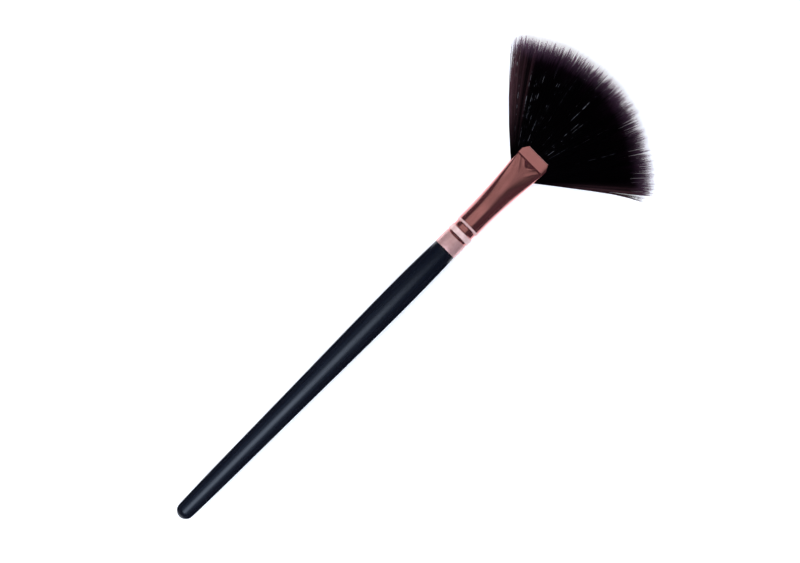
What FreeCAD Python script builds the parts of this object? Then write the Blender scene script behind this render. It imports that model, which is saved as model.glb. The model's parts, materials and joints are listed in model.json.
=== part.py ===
"""Fan makeup brush: a turned handle, a drawn and flattened ferrule, a glue plug and a fan of bristles.

The brush is modelled along +X with the joint between handle and ferrule at x = 0,
the fan's flat faces up and down, and is laid on the table at the end.
All sizes are in millimetres.
"""

import FreeCAD, Part

import math
import os

V = FreeCAD.Vector
AXIS = V(1, 0, 0)

# Handle: turned wood, one piece with the tang that goes up the ferrule
handle_length = 110.0
handle_tail_radius = 2.66
handle_lower_radius = 3.29
handle_lower_place = 73.0
handle_upper_radius = 3.71
handle_upper_place = 43.8
handle_belly_radius = 3.98
handle_belly_place = 18.4
handle_joint_radius = 3.64
tang_length = 12.4
tang_chamfer = 0.8

# Ferrule: seamless tube, round at the handle and pressed flat at the mouth
ferrule_radius = 3.74
ferrule_wall = 0.30
ferrule_length = 38.8
round_length = 14.0
rim_chamfer = 0.10
mouth_half_width = 5.16
mouth_half_height = 1.10
flatten_power = 1.6
mouth_squareness = 5.0

# Rolled rings that lock the ferrule to the tang
thin_groove_place = 4.95
thin_groove_width = 0.75
thin_groove_depth = 0.20
bead_crown = 0.09
wide_groove_place = 7.2
wide_groove_width = 1.9
wide_groove_depth = 0.24
wide_groove_slope = 0.22
ridge_width = 0.8
ridge_crown = 0.06

# Pressed band at the mouth, its cut corners and the facet pressed in behind it
band_length = 3.35
band_flare = 0.07
corner_length = 2.1
lip_half_width = 3.85
facet_length = 5.8
facet_depth = 0.16
facet_point_half_width = 0.5
facet_base_half_width = 3.6

# Glue plug that pots the roots of the bristles
plug_gap = 0.4
plug_length = 10.2
socket_depth = 4.5
socket_rim = 0.45

# Fan of bristles, spreading from a point inside the ferrule
apex_depth = 10.5
stem_depth = 4.4
fan_reach = 42.5
fan_half_angle = 49.0
fan_lean = -1.6
lock_count = 64
lock_unevenness = 0.3
fan_root = 3.0
swell_half_thickness = 1.60
swell_place = 21.0
thinning_half_thickness = 1.05
thinning_place = 33.0
valley_place = 38.8
valley_stagger = 2.6
valley_share = 0.72
crown_stagger = 0.2
tip_stagger = 2.8
tip_half_thickness = 0.08

# Clearances: pieces seated in the ferrule, and the fan between its lips and side slots
seat_gap = 0.03
lip_gap = 0.10
slot_gap = 0.04
slot_margin = 2.0

# Straight cuts that follow the handle's curve from its tail to the joint
HANDLE_CUTS = 8

# Straight sides round the flattened tube, and the shares of its length at which it has a section
SIDES = 32
STATIONS = (0.0, 0.2, 0.4, 0.6, 0.8, 1.0)


def stagger(index, salt):
    """A repeatable share from 0 to 1 that scatters the locks unevenly."""
    return (math.sin(index * 12.9898 + salt * 78.233) * 43758.5453) % 1.0


def polyline(points):
    """Straight edges through points given as (x, radius)."""
    places = [V(x, 0, r) for x, r in points]
    return [Part.makeLine(a, b) for a, b in zip(places, places[1:])]


def arc(start, middle, end):
    """A circular edge through three points given as (x, radius)."""
    return Part.Arc(*(V(x, 0, r) for x, r in (start, middle, end))).toShape()


def turned(edges, start, end):
    """The solid turned about X under a chain of edges from x = start to x = end."""
    first = edges[0].firstVertex(True).Point
    last = edges[-1].lastVertex(True).Point
    closing = [
        Part.makeLine(V(start, 0, 0), first),
        Part.makeLine(last, V(end, 0, 0)),
        Part.makeLine(V(end, 0, 0), V(start, 0, 0)),
    ]
    outline = Part.Wire([closing[0], *edges, closing[1], closing[2]])
    return Part.Face(outline).revolve(V(0, 0, 0), AXIS, 360)


def rolled_edges(inset):
    """Outline of the ferrule's rolled rings, from the joint to the barrel, set in from the outside."""
    r = ferrule_radius - inset
    thin_start = thin_groove_place - thin_groove_width / 2
    thin_end = thin_groove_place + thin_groove_width / 2
    bead_middle = (thin_end + wide_groove_place) / 2
    wide_end = wide_groove_place + wide_groove_width
    floor = r - wide_groove_depth
    return polyline(
        [
            (0, r),
            (thin_start, r),
            (thin_groove_place, r - thin_groove_depth),
            (thin_end, r),
            (bead_middle, r + bead_crown),
            (wide_groove_place, r),
            (wide_groove_place + wide_groove_slope, floor),
            (wide_end - wide_groove_slope, floor),
            (wide_end, r),
            (wide_end + ridge_width / 2, r + ridge_crown),
            (rings_end(), r),
        ]
    )


def rings_end():
    """Where the rolled rings stop and the plain barrel starts."""
    return wide_groove_place + wide_groove_width + ridge_width


def rings(inset):
    """The ringed end of the ferrule as a turned solid."""
    return turned(rolled_edges(inset), 0, rings_end())


def band_start():
    """Where the pressed band at the mouth begins."""
    return ferrule_length - band_length


def oval_section(x, inset, place=None):
    """The tube's squared oval at x, set in by inset, drawn at place where that differs."""
    share = (x - round_length) / (band_start() - round_length)
    flat = min(max(share, 0.0), 1.0) ** flatten_power
    half_width = ferrule_radius + (mouth_half_width - ferrule_radius) * flat - inset
    half_height = ferrule_radius + (mouth_half_height - ferrule_radius) * flat - inset
    if x > band_start():
        half_height += band_flare * (x - band_start()) / band_length
    power = 2.0 / (2.0 + (mouth_squareness - 2.0) * flat)
    points = []
    for k in range(SIDES):
        angle = 2 * math.pi * (k + 0.5) / SIDES
        c, s = math.cos(angle), math.sin(angle)
        y = math.copysign(half_width * abs(c) ** power, c)
        z = math.copysign(half_height * abs(s) ** power, s)
        points.append(V(x if place is None else place, y, z))
    return Part.makePolygon([*points, points[0]])


def facet_tools(inset):
    """Wedges that press a triangular facet into both flat faces, just behind the band."""
    start = band_start() - facet_length
    share = (start - round_length) / (band_start() - round_length)
    crown = ferrule_radius + (mouth_half_height - ferrule_radius) * share**flatten_power
    low = mouth_half_height - facet_depth - inset
    high = crown - inset
    top = 2 * ferrule_radius
    slope = Part.makePolygon(
        [
            V(start, -top, high),
            V(band_start(), -top, low),
            V(band_start(), -top, top),
            V(start, -top, top),
            V(start, -top, high),
        ]
    )
    plan = Part.makePolygon(
        [
            V(start, -facet_point_half_width, 0),
            V(band_start(), -facet_base_half_width, 0),
            V(band_start(), facet_base_half_width, 0),
            V(start, facet_point_half_width, 0),
            V(start, -facet_point_half_width, 0),
        ]
    )
    wedge = Part.Face(slope).extrude(V(0, 2 * top, 0))
    wedge = wedge.common(Part.Face(plan).extrude(V(0, 0, top)))
    return [wedge, wedge.rotated(V(0, 0, 0), AXIS, 180)]


def tube(inset, overrun=0.0):
    """The barrel, its flattened stretch and the band, set in by inset, that may run past the mouth."""
    span = band_start() - round_length
    places = [rings_end(), *(round_length + span * share for share in STATIONS)]
    sections = [oval_section(x, inset) for x in places]
    sections.append(oval_section(ferrule_length, inset, ferrule_length + overrun))
    return Part.makeLoft(sections, True, True).cut(facet_tools(inset))


def filling(start, end, inset):
    """What fills the tube from start to end, set in by inset from its outside."""
    reach = 4 * mouth_half_width
    slab = Part.makeBox(end - start, reach, reach, V(start, -reach / 2, -reach / 2))
    return tube(inset).common(slab)


def lip_half_thickness():
    """Half thickness of the fan between the lips of the ferrule."""
    return mouth_half_height - ferrule_wall - lip_gap


def fan_apex():
    """Where the lines of the bristles meet, behind the mouth."""
    return ferrule_length - apex_depth


def side_slots():
    """The flat sector that opens the sides of the mouth, so that the fan can spread."""
    limit = math.radians(fan_half_angle + slot_margin)
    lean = math.radians(fan_lean)
    half_thickness = lip_half_thickness() + slot_gap

    def at(angle):
        return V(
            fan_apex() + ferrule_length * math.cos(lean + angle),
            ferrule_length * math.sin(lean + angle),
            -half_thickness,
        )

    centre = V(fan_apex(), 0, -half_thickness)
    outline = Part.Wire(
        [
            Part.makeLine(centre, at(-limit)),
            Part.Arc(at(-limit), at(0), at(limit)).toShape(),
            Part.makeLine(at(limit), centre),
        ]
    )
    return Part.Face(outline).extrude(V(0, 0, 2 * half_thickness))


def cut_corners():
    """The two corners sheared off the pressed band, so that the outer bristles can spread."""
    corners = []
    reach = 4 * mouth_half_width
    for side in (-1, 1):
        outline = Part.makePolygon(
            [
                V(ferrule_length, side * lip_half_width, -reach),
                V(ferrule_length - corner_length, side * mouth_half_width, -reach),
                V(ferrule_length - corner_length, side * reach, -reach),
                V(ferrule_length + corner_length, side * reach, -reach),
                V(ferrule_length + corner_length, side * lip_half_width, -reach),
                V(ferrule_length, side * lip_half_width, -reach),
            ]
        )
        corners.append(Part.Face(outline).extrude(V(0, 0, 2 * reach)))
    return corners


def make_ferrule():
    """Drawn tube: rolled rings, round barrel, flattened mouth, side slots for the fan."""
    outside = rings(0).fuse(tube(0))
    cavity = rings(ferrule_wall).fuse(tube(ferrule_wall, 1.0))
    shell = outside.cut([cavity, side_slots(), *cut_corners()])
    sharp = [
        edge
        for edge in shell.Edges
        if abs(edge.BoundBox.XMax) < 1e-6
        and abs(edge.BoundBox.ZMax - ferrule_radius) < 1e-6
    ]
    return shell.makeChamfer(rim_chamfer, sharp)


def handle_outline():
    """Half outline of the handle from its tail to the joint."""
    tail = -handle_length + handle_tail_radius
    diagonal = handle_tail_radius * math.sqrt(0.5)
    round_end = arc(
        (-handle_length, 0),
        (tail - diagonal, diagonal),
        (tail, handle_tail_radius),
    )
    body = Part.BSplineCurve()
    body.interpolate(
        [
            V(tail, 0, handle_tail_radius),
            V(-handle_lower_place, 0, handle_lower_radius),
            V(-handle_upper_place, 0, handle_upper_radius),
            V(-handle_belly_place, 0, handle_belly_radius),
            V(0, 0, handle_joint_radius),
        ]
    )
    cuts = [(p.x, p.z) for p in body.discretize(HANDLE_CUTS + 1)]
    return [round_end, *polyline(cuts)]


def make_handle():
    """Turned handle with a ringed tang on which the ferrule is rolled down."""
    outline = [
        *handle_outline(),
        *polyline([(0, handle_joint_radius), (0, 0), (-handle_length, 0)]),
    ]
    grip = Part.Face(Part.Wire(outline)).revolve(V(0, 0, 0), AXIS, 360)
    inset = ferrule_wall + seat_gap
    tang = rings(inset).fuse(filling(rings_end(), tang_length, inset))
    point = ferrule_radius - inset - tang_chamfer
    taper = Part.makeCone(point + tang_length, point, tang_length, V(0, 0, 0), AXIS)
    return grip.fuse(tang.common(taper))


def plug_end():
    """Where the glue plug stops, behind the flattened stretch."""
    return tang_length + plug_gap + plug_length


def make_glue_plug():
    """Set glue that fills the tube behind the bristles and holds their roots in a socket."""
    body = filling(tang_length + plug_gap, plug_end(), ferrule_wall + seat_gap)
    socket = filling(plug_end() - socket_depth, plug_end(), ferrule_wall + socket_rim)
    return body.cut(socket)


def mouth_place(angle):
    """Distance from the fan's apex at which a bristle at this angle leaves the ferrule."""
    ahead = apex_depth / math.cos(angle)
    aside = mouth_half_width / max(abs(math.sin(angle)), 1e-6)
    return min(ahead, aside)


def fan_profile(angle, thickness, tip):
    """Corners of the fan in the upright plane through its apex at this angle."""
    mouth = mouth_place(angle)
    held = lip_half_thickness()
    swell = swell_half_thickness * thickness
    upper = [
        (fan_root, held),
        (mouth, held),
        (mouth + (swell_place - mouth) * 0.45, held + (swell - held) * 0.68),
        (swell_place, swell),
        (thinning_place, thinning_half_thickness * thickness),
        (tip, tip_half_thickness),
    ]
    outline = upper + [(r, -z) for r, z in reversed(upper)]
    return [V(fan_apex() + r * math.cos(angle), r * math.sin(angle), z) for r, z in outline]


def facet(*corners):
    """A flat face between corners."""
    return Part.Face(Part.makePolygon([*corners, corners[0]]))


def make_fan():
    """Fan of pointed locks: a crown along each lock and a valley between each two."""
    first = math.radians(fan_lean - fan_half_angle)
    pitch = math.radians(2 * fan_half_angle) / lock_count
    profiles = []
    for k in range(lock_count + 1):
        if 0 < k < lock_count:
            shift = lock_unevenness * (stagger(k, 4) - 0.5)
            end = valley_place - valley_stagger * stagger(k, 1)
        else:
            shift = 0.0
            end = fan_reach
        profiles.append(fan_profile(first + (k + shift) * pitch, valley_share, end))
        if k < lock_count:
            tip = fan_reach - tip_stagger * stagger(k, 2) ** 2
            crown = 1.0 - crown_stagger * stagger(k, 3)
            profiles.append(fan_profile(first + (k + 0.5) * pitch, crown, tip))
    faces = [facet(*profiles[0]), facet(*profiles[-1])]
    for one, other in zip(profiles, profiles[1:]):
        for i in range(len(one)):
            faces.append(facet(one[i - 1], one[i], other[i - 1]))
            faces.append(facet(one[i], other[i], other[i - 1]))
    return Part.makeSolid(Part.makeShell(faces))


def make_bristles():
    """The tuft: a packed stem held by the glue and the ferrule, and the fan that leaves the mouth."""
    root = filling(
        plug_end() - socket_depth, plug_end(), ferrule_wall + socket_rim + seat_gap
    )
    stem = filling(plug_end(), ferrule_length - stem_depth, ferrule_wall + seat_gap)
    return make_fan().fuse([root, stem])


def laid(shape, roll, pitch):
    """A shape rolled about the brush's axis and then tipped towards the fan, in degrees."""
    return shape.rotated(V(0, 0, 0), AXIS, roll).rotated(V(0, 0, 0), V(0, 1, 0), pitch)


def lowest(shape):
    """Height of a shape's lowest point."""
    return shape.optimalBoundingBox(False, False).ZMin


def angle_at_touch(part, grip, pose, limit):
    """Degrees, up to limit, at which part comes down as low as grip; pose lays a shape at an angle."""
    above, below = 0.0, limit
    while below - above > 0.002:
        angle = (above + below) / 2
        if lowest(pose(part, angle)) > lowest(pose(grip, angle)):
            above = angle
        else:
            below = angle
    return above


def lie_down(nodes):
    """Lays the brush on z = 0 as it comes to rest: on its belly, its bead and one corner of the fan."""
    grip = nodes["handle"]
    pitch = angle_at_touch(
        nodes["ferrule"], grip, lambda shape, angle: laid(shape, 0.0, angle), 4.0
    )
    roll = angle_at_touch(
        nodes["bristles"], grip, lambda shape, angle: laid(shape, angle, pitch), 20.0
    )
    for name, shape in nodes.items():
        nodes[name] = laid(shape, roll, pitch)
    box = Part.makeCompound(list(nodes.values())).optimalBoundingBox(False, False)
    move = V(-(box.XMin + box.XMax) / 2, -(box.YMin + box.YMax) / 2, -box.ZMin)
    for shape in nodes.values():
        shape.translate(move)
    print("roll", roll, "pitch", pitch, "joint centre", list(move))


def main():
    nodes = {
        "handle": make_handle(),
        "ferrule": make_ferrule(),
        "glue_plug": make_glue_plug(),
        "bristles": make_bristles(),
    }
    lie_down(nodes)
    os.makedirs("parts", exist_ok=True)
    for name, shape in nodes.items():
        box = shape.optimalBoundingBox(False, False)
        low = [round(n, 2) for n in (box.XMin, box.YMin, box.ZMin)]
        high = [round(n, 2) for n in (box.XMax, box.YMax, box.ZMax)]
        print(name, shape.isValid(), len(shape.Solids), round(shape.Volume, 2), low, high)
        shape.exportStep(os.path.join("parts", name + ".step"))


main()
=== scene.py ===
"""Fan makeup brush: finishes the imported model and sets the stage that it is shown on.

Each operator makes one piece, or one group of like pieces, in the brush's own frame:
+X along the handle towards the fan, with the joint of handle and ferrule at x = 0.
"""

import json
import math

import bpy
import numpy as np
from bpy.props import FloatProperty, FloatVectorProperty, IntProperty, PointerProperty
from mathutils import Matrix, Vector


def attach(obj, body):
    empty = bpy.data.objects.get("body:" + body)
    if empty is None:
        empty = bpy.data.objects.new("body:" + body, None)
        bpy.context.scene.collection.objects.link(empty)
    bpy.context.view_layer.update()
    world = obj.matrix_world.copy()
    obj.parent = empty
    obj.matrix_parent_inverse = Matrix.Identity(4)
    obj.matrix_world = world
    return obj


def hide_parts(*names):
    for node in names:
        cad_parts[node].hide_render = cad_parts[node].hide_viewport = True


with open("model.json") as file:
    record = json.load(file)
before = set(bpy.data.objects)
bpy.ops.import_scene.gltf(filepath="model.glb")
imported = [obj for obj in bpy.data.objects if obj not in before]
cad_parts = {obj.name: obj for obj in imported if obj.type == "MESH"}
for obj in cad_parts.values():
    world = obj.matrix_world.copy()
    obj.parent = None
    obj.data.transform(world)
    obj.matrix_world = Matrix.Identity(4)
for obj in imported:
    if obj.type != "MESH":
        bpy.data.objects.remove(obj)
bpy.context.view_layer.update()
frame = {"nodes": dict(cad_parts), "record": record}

MM = 0.001
HANDLE_GRIP = next(m for m in frame["record"]["mounts"] if m["name"] == "handle_grip")

bl_info = {
    "name": "Fan Makeup Brush",
    "version": (1, 0, 0),
    "blender": (4, 5, 0),
    "location": "3D View > Sidebar > Fan Brush",
    "description": "Makes the handle, ferrule and bristles of a fan makeup brush on a plain stage",
    "category": "Add Mesh",
}


def linear(code):
    """Linear colour of an sRGB hex code such as #b87060, with full alpha."""
    shares = [int(code[i : i + 2], 16) / 255 for i in (1, 3, 5)]
    return [s / 12.92 if s <= 0.04045 else ((s + 0.055) / 1.055) ** 2.4 for s in shares] + [1.0]


def length(name, description, millimetres):
    """A property that holds a length, given here in millimetres."""
    return FloatProperty(
        name=name,
        description=description,
        default=millimetres * MM,
        min=0.0,
        precision=5,
        subtype="DISTANCE",
        unit="LENGTH",
    )


def turn(name, description, degrees):
    """A property that holds an angle, given here in degrees."""
    return FloatProperty(
        name=name,
        description=description,
        default=math.radians(degrees),
        subtype="ANGLE",
        unit="ROTATION",
    )


def colour(name, description, code):
    """A property that holds a colour, given here as an sRGB hex code."""
    return FloatVectorProperty(
        name=name,
        description=description,
        default=linear(code),
        size=4,
        min=0.0,
        max=1.0,
        subtype="COLOR",
    )


class HandleSettings(bpy.types.PropertyGroup):
    """Sizes and colour of the turned handle."""

    reach: length("Length", "From the tail to the ferrule", 110.0)
    tail_radius: length("Tail radius", "Radius of the round tail", 2.66)
    lower_radius: length("Lower radius", "Radius on the lower half", 3.29)
    lower_place: length("Lower place", "Distance of the lower radius from the ferrule", 73.0)
    upper_radius: length("Upper radius", "Radius on the upper half", 3.71)
    upper_place: length("Upper place", "Distance of the upper radius from the ferrule", 43.8)
    belly_radius: length("Belly radius", "Radius at the thickest place", 3.965)
    belly_place: length("Belly place", "Distance of the thickest place from the ferrule", 18.4)
    joint_radius: length("Joint radius", "Radius against the ferrule", 3.64)
    lacquer: colour("Lacquer", "Satin lacquer over the wood", "#080d17")


class FerruleSettings(bpy.types.PropertyGroup):
    """Sizes and colour of the drawn metal ferrule."""

    radius: length("Radius", "Outer radius of the round end", 3.74)
    wall: length("Wall", "Thickness of the metal", 0.30)
    reach: length("Length", "From the handle to the front lip", 38.8)
    round_reach: length("Round length", "Where the tube starts to flatten", 14.0)
    mouth_half_width: length("Mouth half width", "Half width of the flattened mouth", 5.16)
    mouth_half_height: length("Mouth half height", "Half height of the flattened mouth", 1.10)
    band: length("Band", "Length of the pressed band at the mouth", 3.35)
    lip_half_width: length("Lip half width", "Half width of the lip between its cut corners", 3.85)
    corner: length("Corner", "Length of the cut corners along the brush", 2.1)
    drop: length("Drop", "How far the faces drop to the band", 0.26)
    dent: length("Dent", "Length of the three-cornered dent behind the band", 2.3)
    dent_half_width: length("Dent half width", "Half width of the dent along the band", 2.1)
    dent_depth: length("Dent depth", "Depth of the dent at the band", 0.20)
    crease: length("Crease", "Length of the two creases that spread to the band's corners", 4.8)
    crease_half_width: length("Crease half width", "Half of the creases' spread at the band", 4.4)
    crease_height: length("Crease height", "Height of the creases above the face", 0.04)
    metal: colour("Metal", "Rose gold colour of the polished metal", "#dc928d")
    # The rolled metal colour is partly a painted highlight on the ring end, bead, ridge and lip
    rolled_metal_and_highlight: colour("Rolled metal", "Paler colour where the rings were rolled", "#ffd9d2")


class FanSettings(bpy.types.PropertyGroup):
    """Sizes and colours of the fan of bristles."""

    apex: length("Apex", "Where the bristles' lines meet, from the joint", 28.3)
    half_angle: turn("Half angle", "Half of the fan's spread where it leaves the mouth", 50.3)
    frayed: turn("Frayed zone", "Width of the thin, frayed zone along the upper flank", 3.6)
    gather: turn("Gather", "How far the upper flank's bristles bend back towards the middle", 4.6)
    fray: turn("Fray", "How far single locks stand out past the fan's sides", 1.5)
    lean: turn("Lean", "Turn of the fan's middle line from the brush's axis", -1.2)
    reach: length("Reach", "From the apex to the longest tips", 43.2)
    usual_reach: length("Usual reach", "From the apex to the tips of most bristles", 38.8)
    reach_spread: length("Reach spread", "How unevenly long the bristles are", 1.0)
    skew_reach: length("Skew", "How much longer the bristles are at the upper flank than in the middle", 0.9)
    corner_reach: length("Corner reach", "How much longer the bristles are at the lower corner", 1.6)
    filament_radius: length("Filament radius", "Radius of one bristle at its root", 0.055)
    held_half_thickness: length("Held half thickness", "Half thickness between the lips", 0.68)
    swell_half_thickness: length("Swell half thickness", "Half thickness at the thickest place", 1.55)
    swell_place: length("Swell place", "Thickest place, from the apex", 21.0)
    layer_count: IntProperty(
        name="Bristles in a layer",
        description="Number of bristles in each of the three layers",
        default=4700,
        min=100,
        max=5000,
    )
    root_dye: colour("Root dye", "Colour of the bristles near the mouth", "#030103")
    tip_dye: colour("Tip dye", "Colour of the bristles at their tips", "#561c48")
    # The flank colour is painted light that shows through the thin layer of bristles at the fan's sides
    flank_backlight: colour("Flank dye", "Colour of the thin layer of bristles at the fan's sides", "#80585e")
    # The pale tip colour is painted light showing through the fine ends
    pale_tip: colour("Pale tip", "Colour of the last fine end of a bristle", "#b086a8")
    glint: colour("Glint", "Colour where a bristle catches the light", "#c4c8d0")


class StageSettings(bpy.types.PropertyGroup):
    """Framing and colours of the stage."""

    view_width: length("View width", "Width that the camera sees at the brush", 233.8)
    turned: turn("Turn", "Turn of the camera about the upright", -45.2)
    aim_along: length("Aim", "How far up the handle from the joint the camera is centred", 15.87)
    aim_across: length("Aim across", "How far to the brush's side the camera is centred", 2.69)
    roll: turn("Roll", "Roll of the brush as it lies, with one corner of the fan down", 5.867)
    paper: colour("Paper", "White paper that the brush lies on", "#f4f4f5")


class BrushSettings(bpy.types.PropertyGroup):
    """Everything that a user may change."""

    handle: PointerProperty(type=HandleSettings)
    ferrule: PointerProperty(type=FerruleSettings)
    fan: PointerProperty(type=FanSettings)
    stage: PointerProperty(type=StageSettings)


def settings():
    """The brush's settings in this scene."""
    return bpy.context.scene.fan_brush


def brush_place():
    """Matrix from the brush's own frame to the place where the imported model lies."""
    axis = Vector(HANDLE_GRIP["axis"])
    joint = Vector(HANDLE_GRIP["pos_m"]) + axis * settings().handle.belly_place
    pitch = Matrix.Rotation(math.asin(-axis.z), 4, "Y")
    roll = Matrix.Rotation(settings().stage.roll, 4, "X")
    return Matrix.Translation(joint) @ pitch @ roll


def add_object(name, data):
    """An object of this name and data, linked to the scene."""
    thing = bpy.data.objects.new(name, data)
    bpy.context.scene.collection.objects.link(thing)
    return thing


def add_node(tree, kind, props=None, inputs=None, links=None):
    """Adds a node, sets its properties and inputs, and links its inputs to other nodes' outputs.

    Inputs go by name, or by number on a node that has one name more than once.
    """
    node = tree.nodes.new(kind)
    for name, value in (props or {}).items():
        setattr(node, name, value)
    for name, value in (inputs or {}).items():
        node.inputs[name].default_value = value
    for name, socket in (links or {}).items():
        tree.links.new(socket, node.inputs[name])
    return node


def new_material(name):
    """An empty node material and its node tree."""
    material = bpy.data.materials.new(name)
    material.use_nodes = True
    material.node_tree.nodes.clear()
    return material, material.node_tree


def blotches(tree, per_mm, stretch=1.0, detail=3.0):
    """A pattern with so many blotches per millimetre, each stretched along the brush."""
    place = add_node(tree, "ShaderNodeTexCoord")
    scale = per_mm / MM
    spread = add_node(
        tree,
        "ShaderNodeMapping",
        inputs={"Scale": (scale / stretch, scale, scale)},
        links={"Vector": place.outputs["Object"]},
    )
    return add_node(
        tree,
        "ShaderNodeTexNoise",
        inputs={"Scale": 1.0, "Detail": detail},
        links={"Vector": spread.outputs["Vector"]},
    )


def satin_lacquered_wood():
    """Turned beech under sprayed black-blue lacquer: a soft long highlight on a close dark skin."""
    material, tree = new_material("satin_lacquered_wood")
    base = settings().handle.lacquer
    # Sprayed lacquer levels to waves about 1.5 mm apart, too low to see but for the highlight's edge
    waves = blotches(tree, per_mm=0.65, stretch=3.0)
    bump = add_node(
        tree,
        "ShaderNodeBump",
        inputs={"Strength": 0.06, "Distance": 0.03 * MM},
        links={"Height": waves.outputs["Fac"]},
    )
    # Rubbed spots about 2 mm wide and 12 mm long keep the sheen from being even
    rubbed = blotches(tree, per_mm=0.5, stretch=6.0, detail=5.0)
    sheen = add_node(
        tree,
        "ShaderNodeMapRange",
        inputs={"From Min": 0.3, "From Max": 0.7, "To Min": 0.22, "To Max": 0.30},
        links={"Value": rubbed.outputs["Fac"]},
    )
    tint = add_node(
        tree,
        "ShaderNodeMix",
        props={"data_type": "RGBA"},
        inputs={6: [c * 0.8 for c in base[:3]] + [1.0], 7: [c * 1.25 for c in base[:3]] + [1.0]},
        links={0: rubbed.outputs["Fac"]},
    )
    shader = add_node(
        tree,
        "ShaderNodeBsdfPrincipled",
        inputs={"IOR": 1.5, "Specular IOR Level": 0.35},
        links={
            "Base Color": tint.outputs[2],
            "Roughness": sheen.outputs["Result"],
            "Normal": bump.outputs["Normal"],
        },
    )
    add_node(tree, "ShaderNodeOutputMaterial", links={"Surface": shader.outputs["BSDF"]})
    return material


def anodised_aluminium():
    """Drawn aluminium, polished and anodised rose gold: clear long reflections, warm pink in white light."""
    material, tree = new_material("rose_gold_anodised_aluminium")
    base = settings().ferrule.metal
    # Draw marks along the tube, about 0.25 mm apart across it, break the reflections a little
    marks = blotches(tree, per_mm=4.0, stretch=24.0, detail=4.0)
    gloss = add_node(
        tree,
        "ShaderNodeMapRange",
        inputs={"From Min": 0.25, "From Max": 0.75, "To Min": 0.15, "To Max": 0.26},
        links={"Value": marks.outputs["Fac"]},
    )
    bump = add_node(
        tree,
        "ShaderNodeBump",
        inputs={"Strength": 0.05, "Distance": 0.02 * MM},
        links={"Height": marks.outputs["Fac"]},
    )
    tint = add_node(
        tree,
        "ShaderNodeMix",
        props={"data_type": "RGBA"},
        inputs={6: [c * 0.92 for c in base[:3]] + [1.0], 7: list(base)},
        links={0: marks.outputs["Fac"]},
    )
    # The rolls left the rings dull and pale, in spots about 0.7 mm across; the pale colour is partly a
    # painted highlight on the ring end, bead, ridge and lip
    wear_and_highlight = add_node(tree, "ShaderNodeAttribute", props={"attribute_name": "wear_and_highlight"})
    spots = blotches(tree, per_mm=1.4, detail=4.0)
    patchy = add_node(
        tree,
        "ShaderNodeMapRange",
        inputs={"From Min": 0.3, "From Max": 0.6, "To Min": 0.7, "To Max": 1.0},
        links={"Value": spots.outputs["Fac"]},
    )
    rolled = add_node(
        tree,
        "ShaderNodeMath",
        props={"operation": "MULTIPLY"},
        links={0: wear_and_highlight.outputs["Fac"], 1: patchy.outputs["Result"]},
    )
    pale = add_node(
        tree,
        "ShaderNodeMix",
        props={"data_type": "RGBA"},
        inputs={7: list(settings().ferrule.rolled_metal_and_highlight)},
        links={0: rolled.outputs[0], 6: tint.outputs[2]},
    )
    dull = add_node(
        tree,
        "ShaderNodeMix",
        inputs={3: 0.5},
        links={0: rolled.outputs[0], 2: gloss.outputs["Result"]},
    )
    # Spots where the roll bruised the oxide scatter light instead of mirroring it
    bare = add_node(
        tree,
        "ShaderNodeMapRange",
        inputs={"To Min": 1.0, "To Max": 0.15},
        links={"Value": rolled.outputs[0]},
    )
    shader = add_node(
        tree,
        "ShaderNodeBsdfPrincipled",
        links={
            "Base Color": pale.outputs[2],
            "Metallic": bare.outputs["Result"],
            "Roughness": dull.outputs[0],
            "Normal": bump.outputs["Normal"],
        },
    )
    add_node(tree, "ShaderNodeOutputMaterial", links={"Surface": shader.outputs["BSDF"]})
    return material


def set_epoxy():
    """Poured epoxy that set inside the ferrule: amber, smooth, with fine bubbles."""
    material, tree = new_material("set_epoxy")
    # Clouds of bubbles about 0.4 mm across
    bubbles = blotches(tree, per_mm=2.5)
    tint = add_node(
        tree,
        "ShaderNodeMix",
        props={"data_type": "RGBA"},
        inputs={6: linear("#8a6a35"), 7: linear("#b08c50")},
        links={0: bubbles.outputs["Fac"]},
    )
    shader = add_node(
        tree,
        "ShaderNodeBsdfPrincipled",
        inputs={"IOR": 1.55, "Roughness": 0.3},
        links={"Base Color": tint.outputs[2]},
    )
    add_node(tree, "ShaderNodeOutputMaterial", links={"Surface": shader.outputs["BSDF"]})
    return material


def filament_dye_and_light():
    """Dyed tapered filament: close black where it is packed, purple brown where it thins to its tip, with
    painted light through its thin flanks and fine ends and painted glints.
    """
    material, tree = new_material("tapered_filament_dye_and_light")
    fan = settings().fan
    marks = {}
    for key in ("tip", "flank", "pale", "glint"):
        mark = add_node(tree, "ShaderNodeAttribute", props={"attribute_name": key})
        marks[key] = mark.outputs["Fac"]
    # Light catches a bristle only in dashes one to two millimetres long
    dashes = blotches(tree, per_mm=0.55, detail=2.0)
    lit = add_node(
        tree,
        "ShaderNodeMapRange",
        inputs={"From Min": 0.51, "From Max": 0.59},
        links={"Value": dashes.outputs["Fac"]},
    )
    caught = add_node(
        tree,
        "ShaderNodeMath",
        props={"operation": "MULTIPLY"},
        links={0: marks["glint"], 1: lit.outputs["Result"]},
    )
    shade = add_node(
        tree,
        "ShaderNodeMix",
        props={"data_type": "RGBA"},
        inputs={6: list(fan.root_dye), 7: list(fan.tip_dye)},
        links={0: marks["tip"]},
    )
    for dye, share in (
        (fan.flank_backlight, marks["flank"]),
        (fan.pale_tip, marks["pale"]),
        (fan.glint, caught.outputs[0]),
    ):
        shade = add_node(
            tree,
            "ShaderNodeMix",
            props={"data_type": "RGBA"},
            inputs={7: list(dye)},
            links={0: share, 6: shade.outputs[2]},
        )
    shader = add_node(
        tree,
        "ShaderNodeBsdfPrincipled",
        inputs={"IOR": 1.55, "Roughness": 0.6, "Specular IOR Level": 0.02},
        links={"Base Color": shade.outputs[2]},
    )
    add_node(tree, "ShaderNodeOutputMaterial", links={"Surface": shader.outputs["BSDF"]})
    return material


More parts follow.
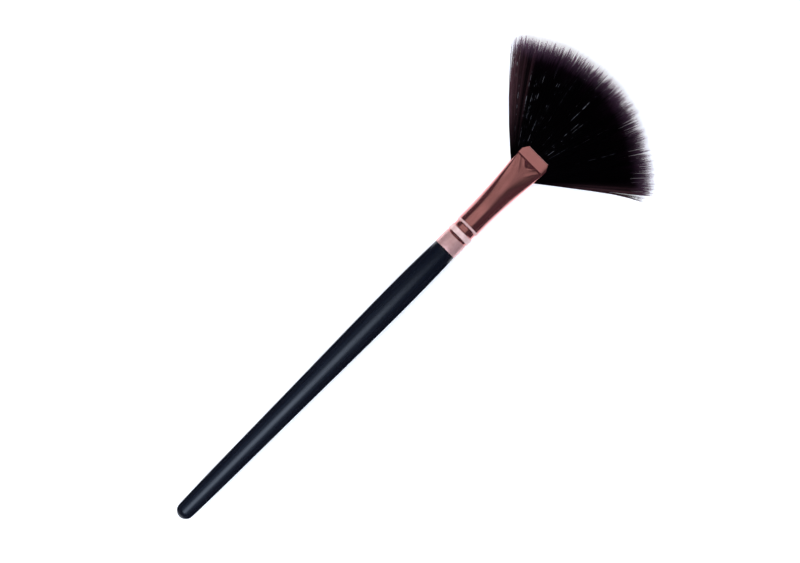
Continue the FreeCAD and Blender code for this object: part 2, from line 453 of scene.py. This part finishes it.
def mesh_object(name, points, faces, material):
    """An object in the scene with its points given in the brush's own frame, in metres."""
    mesh = bpy.data.meshes.new(name)
    mesh.from_pydata([tuple(p) for p in points], [], [tuple(f) for f in faces])
    mesh.transform(brush_place())
    mesh.materials.append(material)
    return add_object(name, mesh)


def shade_smooth(piece, sharp_degrees):
    """Smooth shading that keeps edges sharper than this angle."""
    piece.data.shade_smooth()
    piece.data.set_sharp_from_angle(angle=math.radians(sharp_degrees))


def grid_faces(rows, columns):
    """Quads of a grid of rows that close round on themselves."""
    faces = []
    for row in range(rows - 1):
        low, high = row * columns, (row + 1) * columns
        for k in range(columns):
            after = (k + 1) % columns
            faces.append((low + k, low + after, high + after, high + k))
    return faces


def hang_on_root(piece, node):
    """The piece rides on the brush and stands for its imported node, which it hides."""
    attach(piece, "root")
    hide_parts(node)


def handle_radius(x):
    """Radius of the handle at x, on one smooth curve from its tail to the joint."""
    h = settings().handle
    places = np.array([-h.reach + h.tail_radius, -h.lower_place, -h.upper_place, -h.belly_place, 0.0])
    radii = [h.tail_radius, h.lower_radius, h.upper_radius, h.belly_radius, h.joint_radius]
    curve = np.polyfit(places / MM, np.array(radii) / MM, 4)
    return np.polyval(curve, x / MM) * MM


class BRUSH_OT_handle(bpy.types.Operator):
    """Makes the turned handle with its round tail"""

    bl_idname = "brush.make_handle"
    bl_label = "Make handle"

    def execute(self, context):
        h = settings().handle
        # Rings of points: so many round the tail, from close to its very end, and along the side
        around = 96
        tail_rows, side_rows = 14, 120
        first_turn = 0.04
        shoulder_length = 0.15 * MM
        shoulder_drop = 0.12 * MM
        end_share = 0.6
        tail = -h.reach + h.tail_radius
        outline = [
            (tail - h.tail_radius * math.cos(a), h.tail_radius * math.sin(a))
            for a in np.linspace(first_turn, math.pi / 2, tail_rows)
        ]
        outline += [(x, handle_radius(x)) for x in np.linspace(tail, 0.0, side_rows)[1:]]
        # The lacquer rounds the shoulder against the ferrule
        x, r = outline.pop()
        outline += [(x - shoulder_length, r), (x, r - shoulder_drop), (x, end_share * r)]
        points = [(-h.reach, 0.0, 0.0)]
        for x, r in outline:
            for k in range(around):
                a = 2 * math.pi * k / around
                points.append((x, r * math.cos(a), r * math.sin(a)))
        faces = [tuple(i + 1 for i in face) for face in grid_faces(len(outline), around)]
        faces += [(0, 1 + (k + 1) % around, 1 + k) for k in range(around)]
        last = 1 + (len(outline) - 1) * around
        faces.append(tuple(last + k for k in range(around)))
        piece = mesh_object("turned_handle", points, faces, satin_lacquered_wood())
        shade_smooth(piece, sharp_degrees=40)
        hang_on_root(piece, "handle")
        return {"FINISHED"}


def between(value, low, high):
    """Share of the way from low to high, kept from 0 to 1."""
    return np.clip((value - low) / (high - low), 0.0, 1.0)


def step(low, high, value):
    """Rises smoothly from 0 at low to 1 at high."""
    share = between(value, low, high)
    return share * share * (3 - 2 * share)


def hump(value, middle, spread):
    """A smooth bump of height 1 at the middle."""
    return np.exp(-(((value - middle) / spread) ** 2))


# The ferrule's rings: start and end from its end at the handle, then depth or height, in millimetres
THIN_GROOVE = (4.55, 5.35, 0.20)
BEAD = (5.33, 7.20, 0.09)
WIDE_GROOVE = (7.18, 9.12, 0.24)
RIDGE = (9.10, 9.90, 0.06)
GROOVE_SLOPE = 0.24
EDGE_RUN, EDGE_DROP = 0.14, 0.10


def rolled_relief(x):
    """Height of the rolled rings above the plain tube at x, both in millimetres."""
    relief = -EDGE_DROP * (1 - step(0.0, EDGE_RUN, x))
    start, end, depth = THIN_GROOVE
    off_middle = abs(x - (start + end) / 2) / ((end - start) / 2)
    relief -= depth * max(0.0, 1 - off_middle**2)
    start, end, depth = WIDE_GROOVE
    relief -= depth * step(start, start + GROOVE_SLOPE, x) * (1 - step(end - GROOVE_SLOPE, end, x))
    for start, end, crown in (BEAD, RIDGE):
        if start < x < end:
            relief += crown * math.sin(math.pi * (x - start) / (end - start))
    return relief


def rolled_wear_and_highlight_share(x):
    """Share of the dull, pale finish that rolling and shearing leave, at x in millimetres; it is partly a
    painted highlight on the ring end, bead, ridge and lip.
    """
    share = np.zeros_like(x)
    lip = settings().ferrule.reach / MM
    past = 1.0
    sheared = 0.15
    blend = 0.1
    for start, end, level in (
        (-past, THIN_GROOVE[0], 0.55),
        (THIN_GROOVE[1], WIDE_GROOVE[0], 1.0),
        (RIDGE[0], RIDGE[1], 0.8),
        (lip - sheared, lip + past, 0.6),
    ):
        inside = np.clip((x - start) / blend, 0.0, 1.0) * np.clip((end - x) / blend, 0.0, 1.0)
        share = np.maximum(share, level * inside)
    return share


def pressed_relief(x, y):
    """Height that the press leaves on the flat faces: a drop to the band, a dent with welts, two creases."""
    f = settings().ferrule
    rise_length = 9 * MM
    drop_length = 0.5 * MM
    dent_slope = 0.7 * MM
    welt_gap, welt_spread, welt_height = 0.45 * MM, 0.35 * MM, 0.07 * MM
    crease_root, crease_spread, crease_bend = 1.2 * MM, 0.5 * MM, 1.3
    band_start = f.reach - f.band
    across = np.abs(y)
    before_drop = 1 - step(band_start - drop_length, band_start, x)
    relief = np.full_like(across, f.drop * step(band_start - rise_length, band_start, x) * before_drop)
    along = (x - band_start + f.dent) / f.dent
    if along > 0.0:
        edge = f.dent_half_width * min(along, 1.0)
        inside = between(edge - across, 0.0, dent_slope)
        relief -= f.dent_depth * inside * min(along, 1.0) * before_drop
        welt = hump(across, edge + welt_gap, welt_spread)
        relief += welt_height * welt * step(0.0, 0.5, along) * before_drop
    along = (x - band_start + f.crease) / f.crease
    if along > 0.0:
        line = crease_root + (f.crease_half_width - crease_root) * along**crease_bend
        crease = hump(across, line, crease_spread)
        relief += f.crease_height * crease * step(0.0, 0.4, along) * before_drop
    return relief


def tube_ring(x, inset, around):
    """Points round the ferrule at x, set in by inset and evenly spaced round it."""
    f = settings().ferrule
    flatten_power = 1.6
    band_flare = 0.07 * MM
    round_power, mouth_squareness = 2.0, 4.0
    samples = 2881
    band_start = f.reach - f.band
    flat = between(x, f.round_reach, band_start) ** flatten_power
    relief = rolled_relief(x / MM) * MM
    half_width = f.radius + (f.mouth_half_width - f.radius) * flat + relief - inset
    half_height = f.radius + (f.mouth_half_height - f.radius) * flat + relief - inset
    if x > band_start:
        half_height += band_flare * (x - band_start) / f.band
    power = round_power + mouth_squareness * flat**3
    a = np.linspace(0.0, 2 * np.pi, samples)
    c, s = np.cos(a), np.sin(a)
    reach = (np.abs(c / half_width) ** power + np.abs(s / half_height) ** power) ** (-1 / power)
    y, z = reach * c, reach * s
    # Points at even distances along the outline, found between its close samples
    run = np.concatenate([[0.0], np.cumsum(np.hypot(np.diff(y), np.diff(z)))])
    even = run[-1] * (np.arange(around) + 0.5) / around
    y, z = np.interp(even, run, y), np.interp(even, run, z)
    # The press marks only the upper and the lower face, and fades out towards the rounded sides
    face = np.clip(np.abs(z) / half_height * 2.5 - 1.2, 0.0, 1.0)
    z += np.sign(z) * pressed_relief(x, y) * face
    return np.stack([np.full(around, x), y, z], axis=1)


def prism(name, outline, low, high):
    """A closed prism over an outline in the brush's own plane, used to cut the ferrule."""
    count = len(outline)
    points = [(x, y, low) for x, y in outline] + [(x, y, high) for x, y in outline]
    faces = [tuple(range(count))[::-1], tuple(range(count, 2 * count))]
    faces += [(k, (k + 1) % count, count + (k + 1) % count, count + k) for k in range(count)]
    mesh = bpy.data.meshes.new(name)
    mesh.from_pydata(points, [], faces)
    mesh.transform(brush_place())
    return add_object(name, mesh)


def side_slots():
    """The cutter that opens the ferrule's sides for the fan, a little wider and thicker than the fan."""
    f = settings().ferrule
    fan = settings().fan
    margin = math.radians(1.6)
    gap = fan.held_half_thickness + 0.06 * MM
    corners = 9
    outline = [(fan.apex, 0.0)]
    for share in np.linspace(-1.0, 1.0, corners):
        a = fan.lean + share * (fan.half_angle + fan.fray + margin)
        outline.append((fan.apex + f.reach * math.cos(a), f.reach * math.sin(a)))
    return prism("side_slots", outline, -gap, gap)


def cut_corner(side):
    """The cutter that takes one corner off the ferrule's mouth."""
    f = settings().ferrule
    far = 4 * f.mouth_half_width
    outline = [
        (f.reach, side * f.lip_half_width),
        (f.reach - f.corner, side * f.mouth_half_width),
        (f.reach - f.corner, side * far),
        (f.reach + f.corner, side * far),
        (f.reach + f.corner, side * f.lip_half_width),
    ]
    return prism("cut_corner", outline[::-side], -far, far)


def cut_away(piece, cutters):
    """Cuts each cutter out of the piece and deletes it."""
    for cutter in cutters:
        cut = piece.modifiers.new("cut", "BOOLEAN")
        cut.operation = "DIFFERENCE"
        cut.solver = "EXACT"
        cut.object = cutter
        depsgraph = bpy.context.evaluated_depsgraph_get()
        mesh = bpy.data.meshes.new_from_object(piece.evaluated_get(depsgraph))
        piece.modifiers.clear()
        old, piece.data = piece.data, mesh
        bpy.data.meshes.remove(old)
        bpy.data.objects.remove(cutter)
    piece.data.name = piece.name


class BRUSH_OT_ferrule(bpy.types.Operator):
    """Makes the ferrule: a tube with rolled rings, pressed flat, with cut corners and open sides"""

    bl_idname = "brush.make_ferrule"
    bl_label = "Make ferrule"

    def execute(self, context):
        f = settings().ferrule
        around = 160
        # Places and spacings of the rings of points, in millimetres: close where it is rolled or pressed
        at_rolls, at_barrel, at_press = 0.07, 0.4, 0.09
        in_barrel, in_press = 0.6, 0.25
        rolls_end, barrel_start = 10.2, 10.5
        bevel = 0.1
        end = f.reach / MM
        press_start = end - (f.band + f.crease) / MM
        rows = [*np.arange(0.0, rolls_end, at_rolls), *np.arange(barrel_start, press_start, at_barrel)]
        rows += [*np.arange(press_start, end - bevel, at_press), end - bevel]
        rings = [tube_ring(x * MM, 0.0, around) for x in rows]
        rings.append(tube_ring(f.reach, bevel * MM, around))
        inside = [*np.arange(end, press_start, -in_press), *np.arange(press_start, 0.0, -in_barrel), 0.0]
        rings += [tube_ring(x * MM, f.wall, around) for x in inside]
        points = np.concatenate(rings)
        faces = grid_faces(len(rings), around)
        last = (len(rings) - 1) * around
        faces += [(last + k, last + (k + 1) % around, (k + 1) % around, k) for k in range(around)]
        piece = mesh_object("rolled_ferrule", points, faces, anodised_aluminium())
        # Where the metal is dull and pale from rolling, partly as a painted highlight
        wear_and_highlight = piece.data.attributes.new("wear_and_highlight", "FLOAT", "POINT")
        wear_and_highlight.data.foreach_set("value", rolled_wear_and_highlight_share(points[:, 0] / MM).astype(np.float32))
        cut_away(piece, [side_slots(), cut_corner(1), cut_corner(-1)])
        shade_smooth(piece, sharp_degrees=28)
        hang_on_root(piece, "ferrule")
        return {"FINISHED"}


class BRUSH_OT_glue(bpy.types.Operator):
    """Gives the glue plug inside the ferrule its finish"""

    bl_idname = "brush.finish_glue"
    bl_label = "Finish glue plug"

    def execute(self, context):
        plug = frame["nodes"]["glue_plug"]
        plug.data.materials.clear()
        plug.data.materials.append(set_epoxy())
        return {"FINISHED"}


def mouth_place(angle):
    """Distance from the apex at which a bristle at this angle leaves the ferrule."""
    f = settings().ferrule
    ahead = (f.reach - settings().fan.apex) / np.cos(angle)
    aside = f.mouth_half_width / np.maximum(np.abs(np.sin(angle)), 1e-6)
    return np.minimum(ahead, aside)


def half_thickness(r, mouth):
    """Half thickness of the fan at r from the apex."""
    fan = settings().fan
    thinning, thinning_power = 0.72, 1.6
    rise = between(r, mouth, fan.swell_place)
    fall = between(r, fan.swell_place, fan.reach)
    held = fan.held_half_thickness
    swell = held + (fan.swell_half_thickness - held) * np.sin(rise * np.pi / 2)
    return swell * (1 - thinning * fall**thinning_power)


def gathered(angle):
    """How far a bristle at this angle bends back towards the fan's middle by its tip."""
    fan = settings().fan
    side = np.clip((angle - fan.lean) / fan.half_angle, -1.0, 1.1)
    return -fan.gather * ((1 + side) / 2) ** 2


def strand_paths(angle, tip_angle, depth, tip_depth, tip, shares):
    """Points along each bristle, from inside the ferrule to its tip, and their distance from the apex."""
    root_share = 0.42
    tip_turn_power, tip_depth_power = 2.6, 2.5
    mouth = mouth_place(angle)
    root = root_share * mouth
    r = root[:, None] + (tip - root)[:, None] * shares[None, :]
    free = between(r, mouth[:, None], tip[:, None])
    turned = (tip_angle - angle)[:, None] * free**tip_turn_power
    a = angle[:, None] + turned + gathered(angle)[:, None] * free
    z = depth[:, None] * half_thickness(r, mouth[:, None]) + tip_depth[:, None] * free**tip_depth_power
    x = settings().fan.apex + r * np.cos(a)
    return np.stack([x, r * np.sin(a), z], axis=-1), r


def strand_mesh(name, paths, radii, marks, material):
    """One mesh of three-sided tapered bristles along paths, closed at both ends.

    Marks are values for each point of a path, kept as attributes that the finish reads.
    """
    count, steps, _ = paths.shape
    ahead = np.gradient(paths, axis=1)
    ahead /= np.linalg.norm(ahead, axis=2, keepdims=True)
    side = np.cross(np.array([0.0, 0.0, 1.0]), ahead)
    side /= np.linalg.norm(side, axis=2, keepdims=True)
    up = np.cross(ahead, side)
    corners = []
    for k in range(3):
        a = 2 * math.pi * k / 3 + math.pi / 2
        corners.append(paths + radii[..., None] * (math.cos(a) * side + math.sin(a) * up))
    points = np.stack(corners, axis=2).reshape(-1, 3)
    place = np.array(brush_place())
    points = points @ place[:3, :3].T + place[:3, 3]
    # The lowest bristles bend on the table and don't pass through it
    table_gap = 0.02 * MM
    points[:, 2] = np.maximum(points[:, 2], table_gap)
    first = (np.arange(count)[:, None, None] * steps + np.arange(steps - 1)[None, :, None]) * 3
    k = np.arange(3)[None, None, :]
    after = (k + 1) % 3
    quads = np.stack([first + k, first + after, first + 3 + after, first + 3 + k], axis=-1)
    ends = np.arange(count)[:, None] * steps * 3
    roots = ends + np.array([2, 1, 0])
    tips = ends + (steps - 1) * 3 + np.array([0, 1, 2])
    loops = np.concatenate([quads.reshape(-1), roots.reshape(-1), tips.reshape(-1)])
    sizes = np.concatenate([np.full(quads.size // 4, 4), np.full(2 * count, 3)])
    mesh = bpy.data.meshes.new(name)
    mesh.vertices.add(len(points))
    mesh.vertices.foreach_set("co", points.astype(np.float32).ravel())
    mesh.loops.add(len(loops))
    mesh.loops.foreach_set("vertex_index", loops.astype(np.int32))
    mesh.polygons.add(len(sizes))
    starts = np.concatenate([[0], np.cumsum(sizes)[:-1]])
    mesh.polygons.foreach_set("loop_start", starts.astype(np.int32))
    mesh.update(calc_edges=True)
    for key, values in marks.items():
        layer = mesh.attributes.new(key, "FLOAT", "POINT")
        layer.data.foreach_set("value", np.repeat(values.reshape(-1), 3).astype(np.float32))
    mesh.shade_smooth()
    mesh.materials.append(material)
    return add_object(name, mesh)


class BRUSH_OT_fan(bpy.types.Operator):
    """Makes the fan of bristles in three layers, with its thin flanks and stray hairs"""

    bl_idname = "brush.make_fan"
    bl_label = "Make fan"

    # Shares of a bristle's length at which it has its points
    steps = np.array([0.0, 0.16, 0.34, 0.54, 0.74, 0.89, 1.0])

    def gathers(self, rng, count, pull, extra):
        """Places where bristles draw together into locks, nearly evenly spaced over the fan.

        Each has its angle, how strongly it pulls, how much longer it is, and a tone that it shares with
        a neighbour: dark, middling or light.
        """
        fan = settings().fan
        even = np.linspace(-1.0, 1.0, count) + rng.normal(0.0, 0.5 / count, count)
        tones = rng.choice([0.15, 0.6, 1.0], count // 2, p=[0.35, 0.3, 0.35])
        return {
            "angle": fan.lean + fan.half_angle * even,
            "pull": rng.uniform(*pull, count),
            "extra": rng.normal(0.0, extra, count),
            "tone": np.repeat(tones, 2),
        }

    def layer(self, name, rng, material, depths, locks):
        """One layer of bristles between two depths of the fan's thickness."""
        fan = settings().fan
        count = fan.layer_count
        spread = rng.uniform(-1.0, 1.0 - fan.frayed / fan.half_angle, count)
        angle = fan.lean + fan.half_angle * spread
        # The fan thins towards both flanks
        depth = rng.uniform(*depths, count) * np.sqrt(1 - 0.75 * np.abs(spread) ** 5)
        tip_angle = angle + rng.normal(0.0, 0.004, count)
        tip = rng.gumbel(fan.usual_reach, fan.reach_spread, count)
        # Small clumps of the layer's own come on top of the locks that all three layers share
        clumps = self.gathers(rng, 300, (0.2, 0.8), 0.25 * MM)
        tone = rng.uniform(0.7, 1.0, count)
        for group, contrast in ((locks, 1.0), (clumps, 0.5)):
            nearest = np.abs(angle[:, None] - group["angle"][None, :]).argmin(axis=1)
            pull = group["pull"][nearest] * rng.uniform(0.4, 1.0, count)
            tip_angle += (group["angle"][nearest] - tip_angle) * pull
            tip += group["extra"][nearest]
            tone *= group["tone"][nearest] ** contrast
        tip += fan.skew_reach * spread + fan.corner_reach * between(-spread, 0.6, 1.0)
        # Tips that would pass the longest reach are cut a little short of it
        tip = np.minimum(tip, fan.reach - rng.uniform(0.0, 1.5 * MM, count))
        tip_depth = rng.normal(0.0, 0.16 * MM, count)
        self.make(name, rng, material, angle, tip_angle, depth, tip_depth, tip, tone)

    def make(self, name, rng, material, angle, tip_angle, depth, tip_depth, tip, tone):
        """Builds bristles from their angles, depths and tips, with the marks that colour them."""
        fan = settings().fan
        count = len(angle)
        paths, r = strand_paths(angle, tip_angle, depth, tip_depth, tip, self.steps)
        share = self.steps[None, :]
        size = rng.uniform(0.75, 1.2, count)[:, None]
        radii = fan.filament_radius * size * (1 - 0.86 * share**3.5)
        tone = tone[:, None]
        side = (angle - fan.lean)[:, None] / fan.half_angle
        # The dye turns from black to purple over the outer part; the last fine ends are paler with painted
        # light showing through them
        out = between(r, 30 * MM, fan.reach) ** 2.8
        pale = 0.7 * between(share, 0.88, 1.0) * between(r, 37 * MM, 41 * MM)
        # Painted light showing through both thin flanks makes them brown away from the mouth, the upper one
        # more
        flank = between(side, 0.76, 0.94) + 0.6 * between(-side, 0.9, 1.0)
        flank = flank * between(r, 12 * MM, 26 * MM)
        # A few bristles catch the light over some millimetres, more of them on the upper side
        caught = rng.random((count, 1)) < 0.06 * np.clip(side + 0.75, 0.05, 1.0)
        middle = rng.uniform(12 * MM, 31 * MM, (count, 1))
        glint = caught * hump(r, middle, 5 * MM) * rng.uniform(0.4, 1.0, (count, 1))
        marks = {"tip": out * tone, "flank": flank * tone, "pale": pale, "glint": glint}
        piece = strand_mesh(name, paths, radii, marks, material)
        hang_on_root(piece, "bristles")

    def locks(self, name, rng, material, angle, bend, hairs, short):
        """Thin locks of a few bristles each, at these angles, bent by these turns at their tips.

        On average they are about this much shorter than the longest bristles.
        """
        fan = settings().fan
        count = len(angle) * hairs
        reach = fan.reach - 1.0 * MM + fan.skew_reach * (angle - fan.lean) / fan.half_angle
        tip = np.repeat(reach - rng.exponential(short, len(angle)), hairs)
        turned = np.repeat(bend + rng.normal(0.0, 0.008, len(angle)), hairs)
        angle = np.repeat(angle, hairs) + rng.normal(0.0, 0.0015, count)
        self.make(
            name,
            rng,
            material,
            angle,
            angle + turned + rng.normal(0.0, 0.003, count),
            rng.uniform(-0.5, 0.5, count),
            rng.normal(0.0, 0.1 * MM, count),
            np.minimum(tip - rng.exponential(0.6 * MM, count), fan.reach),
            rng.uniform(0.1, 0.9, count),
        )

    def execute(self, context):
        fan = settings().fan
        rng = np.random.default_rng(7)
        material = filament_dye_and_light()
        locks = self.gathers(rng, 100, (0.15, 0.6), 0.3 * MM)
        self.layer("fan_lower_layer", rng, material, (-1.0, -0.3), locks)
        self.layer("fan_middle_layer", rng, material, (-0.4, 0.4), locks)
        self.layer("fan_upper_layer", rng, material, (0.3, 1.0), locks)
        upper = fan.lean + fan.half_angle
        lower = fan.lean - fan.half_angle
        # The frayed upper flank, thinner outwards, with daylight between its locks
        past = (fan.frayed + fan.fray) * rng.uniform(0.0, 1.0, 38) ** 1.2
        angle = upper - fan.frayed + past
        self.locks("upper_flank_locks", rng, material, angle, bend=0.0, hairs=6, short=1.3 * MM)
        # A few locks beyond the close lower flank
        past = fan.fray * rng.uniform(0.0, 1.0, 9)
        angle = lower - 0.6 * past
        self.locks("lower_flank_locks", rng, material, angle, bend=-0.5 * past, hairs=4, short=3.0 * MM)
        # Stray locks that leave the lower flank on their way out
        angle = lower + math.radians(0.3) - np.array([0.0, 0.004, 0.009])
        bend = np.array([-0.055, -0.047, -0.036])
        self.locks("stray_locks", rng, material, angle, bend, hairs=8, short=6.0 * MM)
        return {"FINISHED"}


def side_lamp(name, place, size, watts):
    """A soft square lamp at place that shines at the brush; metal and lacquer don't mirror it."""
    light = bpy.data.lights.new(name, "AREA")
    light.shape = "SQUARE"
    light.size = size
    light.energy = watts
    lamp = add_object(name, light)
    lamp.location = place
    lamp.rotation_euler = (-Vector(place)).to_track_quat("-Z", "Y").to_euler()
    lamp.visible_glossy = False


def white_paper():
    """Smooth white paper: even and matt; the camera sees it lit to full white, with the brush's shadow."""
    material, tree = new_material("white_paper")
    lift_strength = 0.42
    path = add_node(tree, "ShaderNodeLightPath")
    seen = add_node(
        tree,
        "ShaderNodeMath",
        props={"operation": "MAXIMUM"},
        links={0: path.outputs["Is Camera Ray"], 1: path.outputs["Is Glossy Ray"]},
    )
    lift = add_node(
        tree,
        "ShaderNodeMath",
        props={"operation": "MULTIPLY"},
        inputs={1: lift_strength},
        links={0: seen.outputs[0]},
    )
    matt = add_node(tree, "ShaderNodeBsdfDiffuse", inputs={"Color": list(settings().stage.paper)})
    glow = add_node(tree, "ShaderNodeEmission", links={"Strength": lift.outputs[0]})
    both = add_node(
        tree,
        "ShaderNodeAddShader",
        links={0: matt.outputs[0], 1: glow.outputs[0]},
    )
    add_node(tree, "ShaderNodeOutputMaterial", links={"Surface": both.outputs[0]})
    return material


def studio_world():
    """A room that lights softly from all round: white behind the brush, dim where metal mirrors it."""
    room_light, mirrored_light = 0.72, 0.09
    world = bpy.data.worlds.new("studio")
    world.use_nodes = True
    tree = world.node_tree
    tree.nodes.clear()
    path = add_node(tree, "ShaderNodeLightPath")
    mirrored = add_node(
        tree,
        "ShaderNodeMapRange",
        inputs={"To Min": room_light, "To Max": mirrored_light},
        links={"Value": path.outputs["Is Glossy Ray"]},
    )
    strength = add_node(
        tree,
        "ShaderNodeMath",
        props={"operation": "MAXIMUM"},
        links={0: path.outputs["Is Camera Ray"], 1: mirrored.outputs["Result"]},
    )
    tint = add_node(
        tree,
        "ShaderNodeMix",
        props={"data_type": "RGBA"},
        inputs={6: linear("#ffffff"), 7: linear("#ffdcf8")},
        links={0: path.outputs["Is Glossy Ray"]},
    )
    glow = add_node(
        tree,
        "ShaderNodeBackground",
        links={"Color": tint.outputs[2], "Strength": strength.outputs[0]},
    )
    add_node(tree, "ShaderNodeOutputWorld", links={"Surface": glow.outputs[0]})
    bpy.context.scene.world = world


def hidden_sheet(name, corners, material):
    """A flat sheet of the stage between these corners that the camera doesn't see."""
    mesh = bpy.data.meshes.new(name)
    mesh.from_pydata(corners, [], [tuple(range(len(corners)))])
    mesh.materials.append(material)
    sheet = add_object(name, mesh)
    sheet.visible_camera = False
    sheet.visible_shadow = False
    return sheet


def black_card(name, corners):
    """A black card near the brush that only reflections show."""
    material, tree = new_material("black_card")
    matt = add_node(tree, "ShaderNodeBsdfDiffuse", inputs={"Color": linear("#2c2430")})
    add_node(tree, "ShaderNodeOutputMaterial", links={"Surface": matt.outputs[0]})
    card = hidden_sheet(name, corners, material)
    card.visible_diffuse = False


def lit_panel(name, box, height, strength, fade, tint="#ffffff"):
    """A level panel of light over the brush that the camera doesn't see.

    Its box is x low and high, then y low and high. Its strength fades to nothing at its rims, over the
    shares of its length and width that fade gives in the same order.
    """
    material, tree = new_material(name)
    place = add_node(tree, "ShaderNodeTexCoord")
    split = add_node(tree, "ShaderNodeSeparateXYZ", links={"Vector": place.outputs["Generated"]})
    shares = []
    for axis, (low, high) in zip("XY", fade):
        for start, end in ((0.0, low), (1.0, 1.0 - high)):
            ramp = add_node(
                tree,
                "ShaderNodeMapRange",
                props={"interpolation_type": "SMOOTHSTEP"},
                inputs={"From Min": start, "From Max": end},
                links={"Value": split.outputs[axis]},
            )
            shares.append(ramp.outputs["Result"])
    product = shares[0]
    for share in shares[1:]:
        product = add_node(
            tree, "ShaderNodeMath", props={"operation": "MULTIPLY"}, links={0: product, 1: share}
        ).outputs[0]
    level = add_node(
        tree,
        "ShaderNodeMath",
        props={"operation": "MULTIPLY"},
        inputs={1: strength},
        links={0: product},
    )
    glow = add_node(
        tree,
        "ShaderNodeEmission",
        inputs={"Color": linear(tint)},
        links={"Strength": level.outputs[0]},
    )
    add_node(tree, "ShaderNodeOutputMaterial", links={"Surface": glow.outputs[0]})
    x0, x1, y0, y1 = box
    hidden_sheet(name, [(x0, y0, height), (x1, y0, height), (x1, y1, height), (x0, y1, height)], material)


class BRUSH_OT_stage(bpy.types.Operator):
    """Sets the paper, the lamps, the cards and the camera"""

    bl_idname = "brush.set_stage"
    bl_label = "Set stage"

    def execute(self, context):
        self.lay_paper()
        studio_world()
        side_lamp("side_softbox", place=(-0.25, 0.55, 0.6), size=0.5, watts=2.4)
        self.hang_panels()
        self.set_cards()
        self.place_camera()
        context.scene.view_settings.view_transform = "Standard"
        return {"FINISHED"}

    def lay_paper(self):
        """The sheet of paper on the table, far wider than the view."""
        half = 3.0
        corners = [(-half, -half, 0.0), (half, -half, 0.0), (half, half, 0.0), (-half, half, 0.0)]
        mesh = bpy.data.meshes.new("paper")
        mesh.from_pydata(corners, [], [(0, 1, 2, 3)])
        mesh.materials.append(white_paper())
        add_object("paper", mesh)

    def hang_panels(self):
        """The lit panels that the ferrule and the handle mirror."""
        # Over the ferrule: wide over its barrel, narrower and dimmer over its flattened end
        lit_panel(
            "barrel_softbox",
            box=(-0.01, 0.20, -0.36, 0.95),
            height=0.5,
            strength=0.54,
            fade=((0.1, 0.29), (0.17, 0.3)),
        )
        lit_panel(
            "mouth_softbox",
            box=(0.14, 0.46, -0.24, 0.62),
            height=0.5,
            strength=0.48,
            fade=((0.19, 0.5), (0.26, 0.23)),
        )
        # Over the handle: a broad dim panel, and under it a narrower one for the long soft highlight
        lit_panel(
            "handle_softbox",
            box=(-0.45, 0.03, -1.04, 0.96),
            height=0.51,
            strength=0.85,
            fade=((0.1, 0.2), (0.3, 0.3)),
            tint="#b8d0ff",
        )
        lit_panel(
            "handle_strip",
            box=(-0.45, 0.03, -0.41, 0.33),
            height=0.505,
            strength=5.5,
            fade=((0.1, 0.2), (0.5, 0.5)),
            tint="#d4e5ff",
        )

    def set_cards(self):
        """Level black cards on both sides of the brush, and an upright one over its joint."""
        # The level ones keep the bright rims of handle and ferrule narrow
        level = 0.3 * MM
        start, joint, barrel_end, mouth, end = -0.15, 0.018, 0.040, 0.062, 0.3
        outer = 0.4
        for name, side, by_handle, by_barrel in (("left", 1, 0.0072, 0.020), ("right", -1, 0.0046, 0.013)):
            by_mouth = by_barrel + 0.03
            handle = [(start, by_handle), (joint, by_handle), (joint, outer), (start, outer)]
            ferrule = [(joint, by_barrel), (barrel_end, by_barrel), (mouth, by_mouth)]
            ferrule += [(end, by_mouth), (end, outer), (joint, outer)]
            for part, outline in (("handle", handle), ("ferrule", ferrule)):
                black_card("card_%s_of_%s" % (name, part), [(x, side * y, level) for x, y in outline])
        # The flag hides the handle's light from the ferrule and the ferrule's light from the handle
        x = brush_place().translation.x
        half, low, high = 0.3, 0.012, 0.5
        black_card("flag", [(x, -half, low), (x, half, low), (x, half, high), (x, -half, high)])

    def place_camera(self):
        """The camera straight over the brush, turned so that the brush lies aslant in its view."""
        s = settings().stage
        camera = bpy.data.cameras.new("camera")
        camera.lens = 100.0
        camera.sensor_width = 36.0
        eye = add_object("camera", camera)
        aim = brush_place() @ Vector((-s.aim_along, s.aim_across, 0.0))
        away = s.view_width * camera.lens / camera.sensor_width
        eye.location = (aim.x, aim.y, aim.z + away)
        eye.rotation_euler = (0.0, 0.0, s.turned)
        bpy.context.scene.camera = eye


class VIEW3D_PT_fan_brush(bpy.types.Panel):
    """Lists the brush's operators and settings in the sidebar"""

    bl_label = "Fan Brush"
    bl_space_type = "VIEW_3D"
    bl_region_type = "UI"
    bl_category = "Fan Brush"

    def draw(self, context):
        brush = context.scene.fan_brush
        for name, operator in PARTS:
            self.layout.operator(operator)
            group = getattr(brush, name, None)
            for key in group.__annotations__ if group else ():
                self.layout.prop(group, key)


PARTS = (
    ("handle", "brush.make_handle"),
    ("ferrule", "brush.make_ferrule"),
    ("glue", "brush.finish_glue"),
    ("fan", "brush.make_fan"),
    ("stage", "brush.set_stage"),
)

CLASSES = (
    HandleSettings,
    FerruleSettings,
    FanSettings,
    StageSettings,
    BrushSettings,
    BRUSH_OT_handle,
    BRUSH_OT_ferrule,
    BRUSH_OT_glue,
    BRUSH_OT_fan,
    BRUSH_OT_stage,
    VIEW3D_PT_fan_brush,
)


def register():
    for cls in CLASSES:
        bpy.utils.register_class(cls)
    bpy.types.Scene.fan_brush = PointerProperty(type=BrushSettings)


def unregister():
    del bpy.types.Scene.fan_brush
    for cls in reversed(CLASSES):
        bpy.utils.unregister_class(cls)


def main():
    """Registers the add-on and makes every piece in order."""
    register()
    bpy.ops.brush.make_handle()
    bpy.ops.brush.make_ferrule()
    bpy.ops.brush.finish_glue()
    bpy.ops.brush.make_fan()
    bpy.ops.brush.set_stage()


if __name__ == "__main__":
    main()
